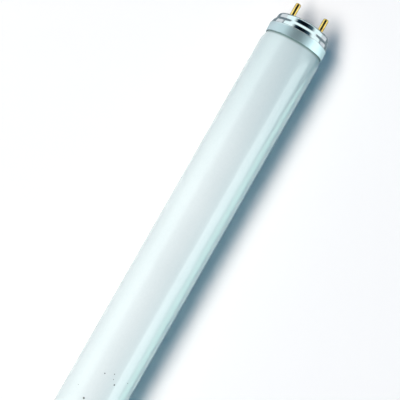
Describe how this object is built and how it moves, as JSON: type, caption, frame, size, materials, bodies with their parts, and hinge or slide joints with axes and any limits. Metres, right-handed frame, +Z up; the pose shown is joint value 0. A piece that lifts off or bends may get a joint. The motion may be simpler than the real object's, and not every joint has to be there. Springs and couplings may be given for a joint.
{
  "type": "fluorescent tube",
  "caption": "Straight tubular fluorescent lamp: sealed white-coated glass tube with a metal bi-pin cap on each end, for push-and-turn lampholders.",
  "frame": {"origin": "middle of the lamp, on the axis of the glass tube", "axes": "+X along the tube towards the cap on the right, +Y across the tube in line with the pins, +Z up from the surface that the tube lies on"},
  "size_m": [0.604, 0.026, 0.026],
  "materials": {
    "coated_glass": "gloss clear glass over a white powder coat",
    "cap_aluminium": "drawn sheet, satin skirt and bright end ring",
    "phenolic_board": "matt pressed board",
    "basing_cement": "matt baked cement",
    "pin_brass": "bright",
    "lead_wire_metal": "plain drawn wire"
  },
  "bodies": {
    "root": {"glass_tube": "coated_glass", "cap_shells": "cap_aluminium", "insulator_disc_right": "phenolic_board", "insulator_disc_left": "phenolic_board", "cement_rings": "basing_cement", "contact_pin_front_right": "pin_brass", "contact_pin_back_right": "pin_brass", "contact_pin_front_left": "pin_brass", "contact_pin_back_left": "pin_brass", "lead_wire_front_right": "lead_wire_metal", "lead_wire_back_right": "lead_wire_metal", "lead_wire_front_left": "lead_wire_metal", "lead_wire_back_left": "lead_wire_metal"}
  },
  "joints": []
}
